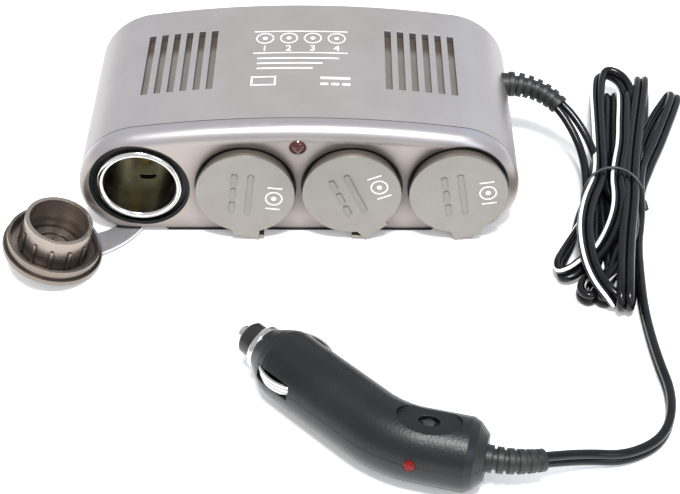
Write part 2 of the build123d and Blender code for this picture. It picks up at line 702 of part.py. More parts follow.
def plug_shell(up):
    """One half of the grip: up is 1 for the upper and -1 for the lower half."""
    with BuildPart() as shell:
        add(grip)
        add(nose_taper)
        add(rear_taper)
        add(hollow, mode=Mode.SUBTRACT)
        add(front_bore, mode=Mode.SUBTRACT)
        add(rear_bore, mode=Mode.SUBTRACT)
        if up < 0:
            add(seat)
        with BuildSketch(Plane(knee + u1 * ((contact_s0 + contact_s1) / 2) + lift, x_dir=u1, z_dir=(0,
                                                                                                    0, 1))):
            Rectangle(contact_s1 - contact_s0 + 0.8, 4 * plug_r)
            Rectangle(contact_s1 - contact_s0 + 2, 2 * 4.6, mode=Mode.SUBTRACT)
        extrude(amount=contact_h / 2 + 0.3, both=True, mode=Mode.SUBTRACT)
        with BuildSketch(Plane(led_at - led_dir * 4, z_dir=led_dir)):
            Circle(1.5)
        extrude(amount=6.0, mode=Mode.SUBTRACT)
        if up > 0:
            with BuildSketch(Plane(screw_at + lift, z_dir=(0, 0, 1))):
                Circle(3.2)
            extrude(amount=plug_in + 0.1 - split_rise)
            with BuildSketch(Plane(screw_at + Vector(0, 0, scoop_z), x_dir=u2, z_dir=(0, 0, 1))):
                Ellipse(8.5, 5.0)
            extrude(amount=4.0, mode=Mode.SUBTRACT)
            with BuildSketch(Plane(screw_at + Vector(0, 0, screw_seat), x_dir=u2, z_dir=(0, 0, 1))):
                Ellipse(2.8, 1.7)
            extrude(amount=4.0, mode=Mode.SUBTRACT)
            with BuildSketch(Plane(screw_at, z_dir=(0, 0, 1))):
                Circle(1.0)
            extrude(amount=plug_r, mode=Mode.SUBTRACT)
        else:
            with BuildSketch(Plane(screw_at + lift, z_dir=(0, 0, -1))):
                Circle(3.2)
            extrude(amount=plug_in + 0.1 + split_rise)
            with BuildSketch(Plane(screw_at + lift, z_dir=(0, 0, -1))):
                Circle(1.0)
            extrude(amount=7.0, mode=Mode.SUBTRACT)
        with BuildSketch(Plane((bend[0], bend[1], plug_z + split_rise), z_dir=(0, 0, up))):
            Rectangle(200, 200)
        extrude(amount=3 * plug_r, mode=Mode.INTERSECT)
    return shell.part


plug_shell_upper = plug_shell(1)
plug_shell_upper.label = "plug_shell_upper"
export_step(plug_shell_upper, "parts/plug_shell_upper.step")
plug_shell_lower = plug_shell(-1)
plug_shell_lower.label = "plug_shell_lower"
export_step(plug_shell_lower, "parts/plug_shell_lower.step")

# Plug front: bright ring, black nose, sprung tip, fuse and spring in line
ring_front, nose_front, nose_in = -47.4, -52.6, 3.5
plug_ring = spun(knee, front_h, [(shell_front, nose_r), (shell_front, 6.1), (shell_front - 0.3, 6.4),
                                 (ring_front + 0.5, 6.4),
                                 (ring_front, 6.0), (ring_front, nose_r)])
plug_ring.label = "plug_ring"
export_step(plug_ring, "parts/plug_ring.step")

plug_nose = spun(knee, front_h, [(shell_front, nose_in), (shell_front, nose_r), (nose_front + 0.7,
                                                                                 nose_r), (nose_front,
                                                                                           nose_r - 0.6),
                                 (nose_front, 2.3), (nose_front + 1.6, 2.3), (nose_front + 1.6, nose_in)])
plug_nose.label = "plug_nose"
export_step(plug_nose, "parts/plug_nose.step")

flange_s = nose_front + 1.7
plug_tip = spun(knee, front_h, [(nose_front - 3.2, 0), (nose_front - 3.2, 1.4), (nose_front - 2.3, 2.2),
                                (flange_s, 2.2), (flange_s, 3.3), (flange_s + 1.2, 3.3),
                                (flange_s + 1.2, 0)])
plug_tip.label = "plug_tip"
export_step(plug_tip, "parts/plug_tip.step")

fuse_s = flange_s + 1.2
fuse_len = 30.0
plug_fuse = spun(knee, front_h, [(fuse_s, 0), (fuse_s, 3.2), (fuse_s + 6, 3.2), (fuse_s + 6, 3.0),
                                 (fuse_s + fuse_len - 6, 3.0), (fuse_s + fuse_len - 6, 3.2),
                                 (fuse_s + fuse_len, 3.2),
                                 (fuse_s + fuse_len, 0)])
plug_fuse.label = "plug_fuse"
export_step(plug_fuse, "parts/plug_fuse.step")

tip_spring = spun(knee, front_h, [(fuse_s + fuse_len, 2.2), (fuse_s + fuse_len, 3.0), (-11.5, 3.0),
                                  (-11.5, 2.2)])
tip_spring.label = "tip_spring"
export_step(tip_spring, "parts/tip_spring.step")

# Side contacts: bowed spring strips that stand out of a window on each side of the grip
for name, side in (("plug_contact_near", -1), ("plug_contact_far", 1)):
    mid = knee + u1 * ((contact_s0 + contact_s1) / 2)
    half = (contact_s1 - contact_s0) / 2
    with BuildPart() as contact:
        with BuildSketch(Plane(mid + lift - Vector(0, 0, contact_h / 2), x_dir=u1, z_dir=(0, 0, 1))):
            with BuildLine():
                Line((-half, side * 6.6), (-half, side * 8.6))
                ThreePointArc((-half, side * 8.6), (0, side * 9.95), (half, side * 8.6))
                Line((half, side * 8.6), (half, side * 6.6))
                Line((half, side * 6.6), (half - 0.6, side * 6.6))
                Line((half - 0.6, side * 6.6), (half - 0.6, side * 8.2))
                ThreePointArc((half - 0.6, side * 8.2), (0, side * 9.35), (0.6 - half, side * 8.2))
                Line((0.6 - half, side * 8.2), (0.6 - half, side * 6.6))
                Line((0.6 - half, side * 6.6), (-half, side * 6.6))
            make_face()
        extrude(amount=contact_h)
    contact.part.label = name
    export_step(contact.part, f"parts/{name}.step")

# Plug lamp in the joint of the shells, closing screw, strain relief
with BuildPart() as plug_led:
    with BuildSketch(Plane(led_at - led_dir * 3.0, z_dir=led_dir)):
        Circle(1.5)
    extrude(amount=3.0)
    with BuildSketch(Plane(led_at, z_dir=led_dir)):
        Circle(1.5)
    extrude(amount=0.8, taper=35)
plug_led.part.label = "plug_led"
export_step(plug_led.part, "parts/plug_led.step")

with BuildPart() as plug_screw:
    with BuildSketch(Plane(screw_at + Vector(0, 0, screw_seat))):
        Circle(1.5)
    extrude(amount=0.9)
    with BuildSketch(Plane(screw_at + Vector(0, 0, screw_seat))):
        Circle(1.0)
    extrude(amount=-10.0)
plug_screw.part.label = "plug_screw"
export_step(plug_screw.part, "parts/plug_screw.step")

plug_exit_dir = Vector(0.924, 0.318, -0.189).normalized()
plug_relief_start = knee + u2 * rear_end
plug_relief_len = 14.8
plug_relief = ribbed_relief(plug_relief_start, u2, plug_exit_dir, plug_relief_len, 3.6, 3.0, 6,
                            rear_end - rear_wall, 4.8)
plug_relief.label = "plug_relief"
export_step(plug_relief, "parts/plug_relief.step")

# Cord from the hank to the plug
plug_cord_end = arc_frame(plug_relief_start, u2, plug_exit_dir, plug_relief_len, 1.0)[0]
out_route = [out_start, out_next, (101.0, -55.0, cord_d / 2), (100.0, -71.0, cord_d / 2),
             (100.8, -88.0, cord_d / 2), (102.6, -104.0, cord_d / 2), (98.0, -117.0, cord_d / 2),
             (86.5, -124.0, cord_d / 2 + 0.2), tuple(plug_cord_end + plug_exit_dir * 10.0),
             tuple(plug_cord_end)]
cord_lead_out = tube(out_route, cord_d / 2)
cord_lead_out.label = "cord_lead_out"
export_step(cord_lead_out, "parts/cord_lead_out.step")
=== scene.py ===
import math

import bpy
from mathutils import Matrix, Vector


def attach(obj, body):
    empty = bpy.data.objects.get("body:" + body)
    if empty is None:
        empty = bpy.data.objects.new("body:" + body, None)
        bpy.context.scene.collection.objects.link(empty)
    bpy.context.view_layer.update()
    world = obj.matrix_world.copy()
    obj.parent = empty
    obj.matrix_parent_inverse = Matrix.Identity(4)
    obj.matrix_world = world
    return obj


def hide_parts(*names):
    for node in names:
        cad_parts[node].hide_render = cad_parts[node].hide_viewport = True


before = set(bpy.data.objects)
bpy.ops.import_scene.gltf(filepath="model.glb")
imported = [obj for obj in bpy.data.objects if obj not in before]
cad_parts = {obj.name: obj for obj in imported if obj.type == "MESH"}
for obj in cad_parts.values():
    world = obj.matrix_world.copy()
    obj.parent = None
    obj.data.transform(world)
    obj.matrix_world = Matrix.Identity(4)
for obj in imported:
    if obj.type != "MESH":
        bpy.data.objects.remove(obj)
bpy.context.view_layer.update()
scene = bpy.context.scene


# Lower case: the tray of the housing, moulded in grey plastic and sprayed with a silver lacquer whose
# flakes give it a pearly, slightly violet tone. The cover closes on it along a fine joint at half height.
def surface(name, dark, light, patch, rough, grain, depth, metallic=0.0, edge=0.0, shine=0.5):
    """A finish of two close tones in soft patches, with fine grain and softly broken edges.

    Patch and grain are scales of noise. The depth of the grain and the edge's rounding are in metres.
    """
    material = bpy.data.materials.new(name)
    material.use_nodes = True
    nodes, links = material.node_tree.nodes, material.node_tree.links
    shader = nodes["Principled BSDF"]
    place = nodes.new("ShaderNodeTexCoord")
    patches = nodes.new("ShaderNodeTexNoise")
    patches.inputs["Scale"].default_value = patch
    patches.inputs["Detail"].default_value = 4.0
    links.new(place.outputs["Object"], patches.inputs["Vector"])
    tones = nodes.new("ShaderNodeValToRGB")
    tones.color_ramp.elements[0].position = 0.3
    tones.color_ramp.elements[1].position = 0.7
    tones.color_ramp.elements[0].color = (*dark, 1.0)
    tones.color_ramp.elements[1].color = (*light, 1.0)
    links.new(patches.outputs["Fac"], tones.inputs["Fac"])
    links.new(tones.outputs["Color"], shader.inputs["Base Color"])
    gloss = nodes.new("ShaderNodeMapRange")
    gloss.inputs["To Min"].default_value = rough[0]
    gloss.inputs["To Max"].default_value = rough[1]
    links.new(patches.outputs["Fac"], gloss.inputs["Value"])
    links.new(gloss.outputs["Result"], shader.inputs["Roughness"])
    specks = nodes.new("ShaderNodeTexNoise")
    specks.inputs["Scale"].default_value = grain
    specks.inputs["Detail"].default_value = 2.0
    links.new(place.outputs["Object"], specks.inputs["Vector"])
    relief = nodes.new("ShaderNodeBump")
    relief.inputs["Strength"].default_value = 0.5
    relief.inputs["Distance"].default_value = depth
    links.new(specks.outputs["Fac"], relief.inputs["Height"])
    if edge:
        rounding = nodes.new("ShaderNodeBevel")
        rounding.samples = 4
        rounding.inputs["Radius"].default_value = edge
        links.new(rounding.outputs["Normal"], relief.inputs["Normal"])
    links.new(relief.outputs["Normal"], shader.inputs["Normal"])
    shader.inputs["Metallic"].default_value = metallic
    shader.inputs["Specular IOR Level"].default_value = shine
    return material


def lay_over(material, share, colour, rough=None):
    """Lays a second tone over the finish where the share is 1, and with it a second gloss."""
    nodes, links = material.node_tree.nodes, material.node_tree.links
    shader = nodes["Principled BSDF"]
    tint = nodes.new("ShaderNodeMix")
    tint.data_type = "RGBA"
    links.new(share, tint.inputs["Factor"])
    links.new(shader.inputs["Base Color"].links[0].from_socket, tint.inputs["A"])
    tint.inputs["B"].default_value = (*colour, 1.0)
    links.new(tint.outputs["Result"], shader.inputs["Base Color"])
    if rough is not None:
        gloss = nodes.new("ShaderNodeMix")
        links.new(share, gloss.inputs["Factor"])
        links.new(shader.inputs["Roughness"].links[0].from_socket, gloss.inputs["A"])
        gloss.inputs["B"].default_value = rough
        links.new(gloss.outputs["Result"], shader.inputs["Roughness"])


def reach(material, direction, of="Object"):
    """How far a point lies along a direction of the object, in metres, or how far it faces that way."""
    nodes, links = material.node_tree.nodes, material.node_tree.links
    place = nodes.new("ShaderNodeTexCoord")
    along_it = nodes.new("ShaderNodeVectorMath")
    along_it.operation = "DOT_PRODUCT"
    along_it.inputs[1].default_value = direction
    links.new(place.outputs[of], along_it.inputs[0])
    return along_it.outputs["Value"]


def ramp_of(material, value, start, end):
    """Runs from 0 at start to 1 at end."""
    ramp = material.node_tree.nodes.new("ShaderNodeMapRange")
    ramp.inputs["From Min"].default_value = start
    ramp.inputs["From Max"].default_value = end
    material.node_tree.links.new(value, ramp.inputs["Value"])
    return ramp.outputs["Result"]


def worked_out(material, operation, value, *numbers):
    """A value after one step of arithmetic with plain numbers."""
    step = material.node_tree.nodes.new("ShaderNodeMath")
    step.operation = operation
    material.node_tree.links.new(value, step.inputs[0])
    for place, number in enumerate(numbers, 1):
        step.inputs[place].default_value = number
    return step.outputs[0]


def joint_line(material, value, at, half, colour):
    """A fine soft-edged line in another tone, as where two mouldings meet; half is half its width."""
    off = worked_out(material, "ABSOLUTE", worked_out(material, "SUBTRACT", value, at))
    lay_over(material, ramp_of(material, off, half * 1.3, half * 0.7), colour)


def dress(material, *names):
    """Gives the named nodes this finish."""
    for name in names:
        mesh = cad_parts[name].data
        mesh.materials.clear()
        mesh.materials.append(material)


mm = 0.001
to_right, to_front, to_back, to_top = (1, 0, 0), (0, -1, 0), (0, 1, 0), (0, 0, 1)
seam_y, seam_half = -27.5 * mm, 0.26 * mm  # where the front panel meets the case
joint_z, joint_half = 21.5 * mm, 0.16 * mm  # where the cover meets the tray
joint_dark, painted_side_shade = (0.05, 0.045, 0.045), (0.250, 0.239, 0.240)
silver_lacquer = surface(
    "silver_lacquer", dark=(0.400, 0.379, 0.371), light=(0.446, 0.425, 0.418), patch=60.0,
    rough=(0.36, 0.43), grain=5200.0, depth=0.000012, metallic=0.7, edge=0.0004)
joint_line(silver_lacquer, reach(silver_lacquer, to_back), seam_y, seam_half, joint_dark)
joint_line(silver_lacquer, reach(silver_lacquer, to_top), joint_z, joint_half, joint_dark)
# Painted shade: faces that turn away from the top are given a darker tone, for the shade on the sides of
# the case.
upward = reach(silver_lacquer, to_top, of="Normal")
lay_over(silver_lacquer, ramp_of(silver_lacquer, upward, start=0.85, end=0.25), painted_side_shade)
dress(silver_lacquer, "lower_case")

# Base plate: flat black plate screwed under the tray. It shows as a dark line below the front panel, and
# the straps of the two middle caps run in its channels. Four zinc-plated screws close the case.
black_moulding = surface(
    "black_moulding", dark=(0.004, 0.004, 0.004), light=(0.009, 0.009, 0.010), patch=90.0,
    rough=(0.34, 0.46), grain=3800.0, depth=0.00002, edge=0.0003, shine=0.22)
dress(black_moulding, "base_plate")
zinc = surface(
    "zinc_plate", dark=(0.50, 0.50, 0.48), light=(0.62, 0.61, 0.58), patch=700.0,
    rough=(0.24, 0.36), grain=5000.0, depth=0.00001, metallic=1.0, edge=0.0002)
dress(zinc, "case_screws")

# Socket barrels: drawn steel tubes, nickel plated, with punched slots and a bright rim rolled out at the
# mouth. Inside they are a dull olive, and a fine dark line runs round the rim.
socket_pitch, axis_z = 31.6 * mm, 18.2 * mm
rim_starts, rim_full, rim_bright = 30.6 * mm, 31.4 * mm, (0.72, 0.72, 0.71)
groove_r, groove_half, groove_dark = 11.9 * mm, 0.12 * mm, (0.10, 0.095, 0.085)
barrel_steel = surface(
    "barrel_steel", dark=(0.515, 0.50, 0.43), light=(0.645, 0.63, 0.55), patch=240.0,
    rough=(0.16, 0.26), grain=2600.0, depth=0.00001, metallic=1.0, edge=0.0003)
forward = reach(barrel_steel, to_front)
lay_over(barrel_steel, ramp_of(barrel_steel, forward, rim_starts, rim_full), rim_bright, rough=0.14)
# All four tubes share this finish, so the line is drawn about the axis of the nearest one.
from_first = worked_out(barrel_steel, "ADD", reach(barrel_steel, to_right), socket_pitch * 1.5)
across = worked_out(barrel_steel, "WRAP", from_first, socket_pitch / 2, -socket_pitch / 2)
height = worked_out(barrel_steel, "SUBTRACT", reach(barrel_steel, to_top), axis_z)
nodes, links = barrel_steel.node_tree.nodes, barrel_steel.node_tree.links
spot = nodes.new("ShaderNodeCombineXYZ")
links.new(across, spot.inputs["X"])
links.new(height, spot.inputs["Z"])
out_from_axis = nodes.new("ShaderNodeVectorMath")
out_from_axis.operation = "LENGTH"
links.new(spot.outputs["Vector"], out_from_axis.inputs[0])
joint_line(barrel_steel, out_from_axis.outputs["Value"], groove_r, groove_half, groove_dark)
dress(barrel_steel, "socket_barrel_1", "socket_barrel_2", "socket_barrel_3", "socket_barrel_4")

# Floor of each socket: a punched washer of pressed board, which keeps the barrel apart from the brass
# contact that is riveted through its middle.
pressed_board = surface(
    "pressed_board", dark=(0.10, 0.045, 0.02), light=(0.18, 0.085, 0.04), patch=900.0,
    rough=(0.55, 0.7), grain=2500.0, depth=0.00003)
brass = surface(
    "contact_brass", dark=(0.42, 0.29, 0.10), light=(0.55, 0.40, 0.16), patch=300.0,
    rough=(0.28, 0.4), grain=4000.0, depth=0.00001, metallic=1.0, edge=0.0002)
for number in (1, 2, 3, 4):
    dress(pressed_board, f"socket_insulator_{number}")
    dress(brass, f"socket_contact_{number}")

# Inner wiring: a steel strip spot-welded to the barrels, a brass strip on the contacts, two wires from
# the cord, and the lamp's small board with its wires. All of it is closed in.
board_green = surface(
    "board_green", dark=(0.02, 0.10, 0.04), light=(0.04, 0.15, 0.06), patch=500.0,
    rough=(0.3, 0.4), grain=3000.0, depth=0.00001)
wire_skin = surface(
    "wire_skin", dark=(0.012, 0.012, 0.012), light=(0.03, 0.03, 0.03), patch=400.0,
    rough=(0.35, 0.5), grain=3000.0, depth=0.00001)
dress(zinc, "ground_bus")
dress(brass, "positive_bus")
dress(board_green, "led_board")
dress(wire_skin, "led_wires", "supply_wires")


# Front panel: one silver moulding with four round openings. Its border is rounded and runs out to a
# plain edge at the bottom; the lacquer is a little warmer than on the cover.
def darken_nooks(material, depth, start, end, colour):
    """Paints shade into corners and beside near parts, as far as the depth in metres: a darker tone laid
    where the surface is hemmed in.
    """
    nook = material.node_tree.nodes.new("ShaderNodeAmbientOcclusion")
    nook.samples = 12
    nook.inputs["Distance"].default_value = depth
    lay_over(material, ramp_of(material, nook.outputs["AO"], start, end), colour)


panel_seam_half, painted_border_sheen = 0.2 * mm, (0.405, 0.385, 0.400)
pearl_lacquer = surface(
    "pearl_lacquer", dark=(0.308, 0.272, 0.250), light=(0.348, 0.307, 0.284), patch=50.0,
    rough=(0.30, 0.38), grain=5200.0, depth=0.000012, metallic=0.75, edge=0.0004)
joint_line(pearl_lacquer, reach(pearl_lacquer, to_back), seam_y, panel_seam_half, joint_dark)
# Painted highlight: faces that turn upwards, as on the rounded border, are given a lighter, cooler tone
# for the light falling on them from above.
upward = reach(pearl_lacquer, to_top, of="Normal")
lay_over(pearl_lacquer, ramp_of(pearl_lacquer, upward, start=0.1, end=0.7), painted_border_sheen)
# Painted shade round the caps and in the corners of the panel.
darken_nooks(pearl_lacquer, depth=0.007, start=0.97, end=0.45, colour=(0.11, 0.095, 0.090))
dress(pearl_lacquer, "front_panel")

# Socket collars: black moulded rings pressed into the openings of the panel. They centre the barrels
# and give the caps a seat.
dress(black_moulding, "socket_collar_1", "socket_collar_2", "socket_collar_3", "socket_collar_4")

# Panel lamp: a dark red lamp of 5 mm, pushed through a hole in the border of the panel. It is off, and
# its clear skin shines.
dark_lamp = surface(
    "dark_lamp", dark=(0.035, 0.004, 0.003), light=(0.06, 0.008, 0.006), patch=400.0,
    rough=(0.10, 0.16), grain=900.0, depth=0.00001)
dark_lamp.node_tree.nodes["Principled BSDF"].inputs["Coat Weight"].default_value = 0.3
dress(dark_lamp, "panel_led")

# Top cover: arched shell with two rows of vent slots, in the same lacquer as the tray. A socket plan
# with the numbers 1 to 4 is pad printed on it in white, with some bars, a box and a current sign.
dress(silver_lacquer, "top_cover")
arch_top, arch_r = 39.4 * mm, 330.0 * mm


def arch(x):
    """Height of the cover at a distance from its middle."""
    return arch_top - arch_r + math.sqrt(arch_r ** 2 - x ** 2)


def on_cover(x, y, lift):
    """A point of the print, so far above the cover."""
    return (x, y, arch(x) + lift)


def add_piece(name, mesh, *finishes):
    """Puts a mesh into the scene as a piece with these finishes."""
    for finish in finishes:
        mesh.materials.append(finish)
    piece = bpy.data.objects.new(name, mesh)
    scene.collection.objects.link(piece)
    return piece


def raised_shapes(name, shapes, lift, sunk, to_place, finish):
    """Thin raised shapes as one mesh: each is a strip of cross pairs ((left), (right)) in plan."""
    verts, faces = [], []
    for strip, closed in shapes:
        first, count = len(verts), len(strip)
        for left, right in strip:
            for x, y in (left, right):
                verts += [to_place(x, y, lift), to_place(x, y, -sunk)]
        for k in range(count if closed else count - 1):
            a, b = first + 4 * k, first + 4 * ((k + 1) % count)
            faces += [(a, a + 2, b + 2, b), (a + 1, b + 1, b + 3, a + 3)]
            faces += [(a, b, b + 1, a + 1), (a + 2, a + 3, b + 3, b + 2)]
        if not closed:
            a, b = first, first + 4 * (count - 1)
            faces += [(a, a + 1, a + 3, a + 2), (b, b + 2, b + 3, b + 1)]
    mesh = bpy.data.meshes.new(name)
    mesh.from_pydata(verts, [], faces)
    return add_piece(name, mesh, finish)


def bar_shape(x, y, length, width, tilt=0.0):
    """A straight bar about a middle point, with softly cut ends."""
    end_share, pieces = 0.55, 8
    c, s = math.cos(tilt), math.sin(tilt)
    steps = [(-0.5 * length, end_share), (-0.5 * length + 0.25 * width, 1.0)]
    steps += [(length * (k / pieces - 0.5), 1.0) for k in range(1, pieces)]
    steps += [(0.5 * length - 0.25 * width, 1.0), (0.5 * length, end_share)]
    return [((x + u * c - v * width / 2 * s, y + u * s + v * width / 2 * c),
             (x + u * c + v * width / 2 * s, y + u * s - v * width / 2 * c)) for u, v in steps], False


def ring_shape(x, y, radius, width):
    """A round line about a middle point."""
    sides, inner, outer = 40, radius - width / 2, radius + width / 2
    turns = [math.tau * k / sides for k in range(sides)]
    return [((x + inner * math.cos(a), y + inner * math.sin(a)),
             (x + outer * math.cos(a), y + outer * math.sin(a))) for a in turns], True


def socket_sign(x, y, radius, line):
    """A socket from the front: a ring with a dot in its middle."""
    dot_r, dot_line = 0.4 * mm, 0.7 * mm
    return [ring_shape(x, y, radius, line), ring_shape(x, y, dot_r, dot_line)]


def current_sign(x, y, length, drop, dash, dash_pitch, width):
    """The sign for direct current: a bar, and three dashes below it."""
    dashes = [bar_shape(x + dash_pitch * k, y - drop, dash, width) for k in (-1, 0, 1)]
    return [bar_shape(x, y, length, width)] + dashes


upright = math.pi / 2
white_ink = surface(
    "white_ink", dark=(0.80, 0.80, 0.79), light=(0.92, 0.92, 0.91), patch=1500.0,
    rough=(0.45, 0.6), grain=6000.0, depth=0.000004)
plan_x = [(k - 1.5) * 7.4 * mm for k in range(4)]
plan_marks = []
for x in plan_x:
    plan_marks += socket_sign(x, y=13.0 * mm, radius=2.6 * mm, line=0.36 * mm)
for y in (16.7 * mm, 5.2 * mm):
    plan_marks.append(bar_shape(0.0, y, length=29.0 * mm, width=0.4 * mm))
for x, y, length in ((-0.6, 2.4, 25.0), (-3.1, -0.2, 20.0), (-4.6, -2.8, 17.0)):
    plan_marks.append(bar_shape(x * mm, y * mm, length * mm, width=0.6 * mm))
box_x, box_y, box_line = -10.8 * mm, -9.2 * mm, 0.5 * mm
for off in (2.0 * mm, -2.0 * mm):
    plan_marks.append(bar_shape(box_x, box_y + off, length=6.2 * mm, width=box_line))
for off in (-3.5 * mm, 3.5 * mm):
    plan_marks.append(bar_shape(box_x + off, box_y, length=4.8 * mm, width=box_line, tilt=upright))
plan_marks += current_sign(10.8 * mm, -7.8 * mm, length=9.0 * mm, drop=3.0 * mm, dash=2.4 * mm,
                           dash_pitch=3.3 * mm, width=1.1 * mm)
ink_lift, ink_sunk = 0.04 * mm, 0.12 * mm
cover_print = raised_shapes("cover_print", plan_marks, ink_lift, ink_sunk, on_cover, white_ink)
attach(cover_print, "housing")
digit_high, digit_thick, digit_y = 4.0 * mm, 0.05 * mm, 6.3 * mm
for number, middle_x in enumerate(plan_x, 1):
    figure = bpy.data.curves.new("figure", "FONT")
    figure.body = str(number)
    figure.size = digit_high
    figure.align_x = "CENTER"
    figure.extrude = digit_thick
    holder = bpy.data.objects.new("figure", figure)
    scene.collection.objects.link(holder)
    digit_mesh = bpy.data.meshes.new_from_object(holder)
    bpy.data.objects.remove(holder)
    for vert in digit_mesh.vertices:
        x, y, lift = vert.co
        vert.co = on_cover(x + middle_x, y + digit_y, lift)
    digit_mesh.materials.clear()
    digit = add_piece(f"cover_digit_{number}", digit_mesh, white_ink)
    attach(digit, "housing")

# Vent screens: thin grey strips held close under the cover, one behind each slot. They keep dust out,
# and are what shows through the slots; towards the back they lie in shade.
slots_x, slots_y, slot_pitch = 36.8 * mm, 3.25 * mm, 3.93 * mm
strip_w, strip_long, strip_top, strip_under = 2.3 * mm, 32.0 * mm, 2.08 * mm, 2.58 * mm
shade_starts, shade_full, shade_tone = 9.0 * mm, 13.0 * mm, (0.07, 0.054, 0.040)
screen_grey = surface(
    "screen_grey", dark=(0.15, 0.140, 0.126), light=(0.18, 0.168, 0.152), patch=90.0,
    rough=(0.45, 0.55), grain=4200.0, depth=0.00002)
backward = reach(screen_grey, to_back)
lay_over(screen_grey, ramp_of(screen_grey, backward, shade_starts, shade_full), shade_tone)
for side, way in (("left", -1), ("right", 1)):
    strips = []
    for k in range(6):
        slot_x = way * slots_x + (k - 2.5) * slot_pitch
        strips.append(bar_shape(slot_x, slots_y, strip_long, strip_w, upright))
    screen = raised_shapes(f"vent_screen_{side}", strips, -strip_top, strip_under, on_cover, screen_grey)
    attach(screen, "housing")

# Closed caps: soft plastic with a satin silver face, each in one piece with its strap. Behind the face the
# tone turns to a darker bronze, partly the moulding's own darker back and partly painted shade on the rim
# side. A raised sign for direct current stands on the face, and a plain white socket sign beside it.
cap_front, bronze_shade_starts, bronze_shade_full = -37.2 * mm, -36.75 * mm, -36.55 * mm
cap_face = surface(
    "cap_face", dark=(0.246, 0.230, 0.208), light=(0.276, 0.260, 0.239), patch=120.0,
    rough=(0.38, 0.46), grain=4200.0, depth=0.00002, metallic=0.7, edge=0.0004)
backward = reach(cap_face, to_back)
# Behind the face: bronze, partly the darker back of the moulding and partly painted shade on the rim side.
lay_over(cap_face, ramp_of(cap_face, backward, bronze_shade_starts, bronze_shade_full), (0.22, 0.185, 0.155))
# The raised sign is a little darker than the face: painted shade for the shading along its raised strokes.
shaded_face_mark = surface(
    "shaded_face_mark", dark=(0.218, 0.205, 0.188), light=(0.247, 0.234, 0.217), patch=120.0,
    rough=(0.36, 0.44), grain=4200.0, depth=0.00002, metallic=0.7, edge=0.0003)


def face_of(number, tilt):
    """The way to place a point of a sign on a closed cap, which is turned by so many degrees."""
    turn = math.radians(tilt - 90.0)
    centre_x = (number - 2.5) * socket_pitch

    def on_face(x, y, lift):
        along_x = x * math.cos(turn) - y * math.sin(turn)
        along_z = x * math.sin(turn) + y * math.cos(turn)
        return (centre_x + along_x, cap_front - lift, axis_z + along_z)

    return on_face


raised_marks = current_sign(0.0, 1.2 * mm, length=15.0 * mm, drop=4.8 * mm, dash=4.0 * mm,
                            dash_pitch=5.3 * mm, width=1.7 * mm)
white_x, white_y, white_line = 0.4 * mm, 8.6 * mm, 0.4 * mm
white_marks = socket_sign(white_x, white_y, radius=2.4 * mm, line=white_line)
for off in (-4.0 * mm, 4.0 * mm):
    white_marks.append(bar_shape(white_x + off, white_y, length=4.4 * mm, width=white_line, tilt=upright))
raised_lift, white_lift, marks_sunk = 0.35 * mm, 0.05 * mm, 0.2 * mm
for number, tilt in ((2, -7.0), (3, 23.0), (4, 9.0)):
    dress(cap_face, f"socket_cap_{number}")
    on_face = face_of(number, tilt)
    raised_sign = raised_shapes(
        f"raised_sign_{number}", raised_marks, raised_lift, marks_sunk, on_face, shaded_face_mark)
    white_sign = raised_shapes(
        f"white_sign_{number}", white_marks, white_lift, marks_sunk, on_face, white_ink)
    for sign_piece in (raised_sign, white_sign):
        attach(sign_piece, f"cap_{number}")

# Open cap: the same moulding pulled out of its socket. It lies cup upwards at the end of its strap, which
# holds its outer edge off the table, so its bronze inner side shows. The silver strap runs under the case.
lean, cap_r, off_table = math.radians(18.0), 14.65, 0.2
cup_axis = Vector((math.sin(lean), 0.0, math.cos(lean)))
cap_middle = Vector((-73.2, -46.6, off_table + cap_r * math.sin(lean))) * mm
face_at = cap_middle.dot(cup_axis)
strap_way, strap_starts, strap_full = (0.86, 0.51, 0.0), -74.5 * mm, -72.5 * mm
edge_tone, strap_tone, cup_tone = (0.215, 0.185, 0.160), (0.55, 0.55, 0.57), (0.335, 0.286, 0.248)
open_cap = surface(
    "open_cap", dark=(0.182, 0.153, 0.132), light=(0.248, 0.209, 0.180), patch=140.0,
    rough=(0.22, 0.31), grain=4200.0, depth=0.00002, metallic=0.85, edge=0.00015)
up_cup, along_strap = reach(open_cap, cup_axis), reach(open_cap, strap_way)
lay_over(open_cap, ramp_of(open_cap, up_cup, face_at + 0.9 * mm, face_at + 0.7 * mm), edge_tone)
lay_over(open_cap, ramp_of(open_cap, along_strap, strap_starts, strap_full), strap_tone, rough=0.4)
lay_over(open_cap, ramp_of(open_cap, up_cup, face_at + 5.0 * mm, face_at + 6.4 * mm), cup_tone)
# Painted shade in the crevices between the ribs and in the hollow of the cup.
darken_nooks(open_cap, depth=0.0012, start=0.88, end=0.58, colour=(0.08, 0.066, 0.055))
dress(open_cap, "socket_cap_1")

# Strain reliefs: ribbed sleeves of soft black vinyl, moulded onto the cord. One sits in the end of the
# case and one in the back of the plug.
soft_vinyl = surface(
    "soft_vinyl", dark=(0.009, 0.010, 0.009), light=(0.018, 0.019, 0.018), patch=160.0,
    rough=(0.40, 0.52), grain=3200.0, depth=0.00003, edge=0.0006, shine=0.45)
dress(soft_vinyl, "case_relief", "plug_relief")


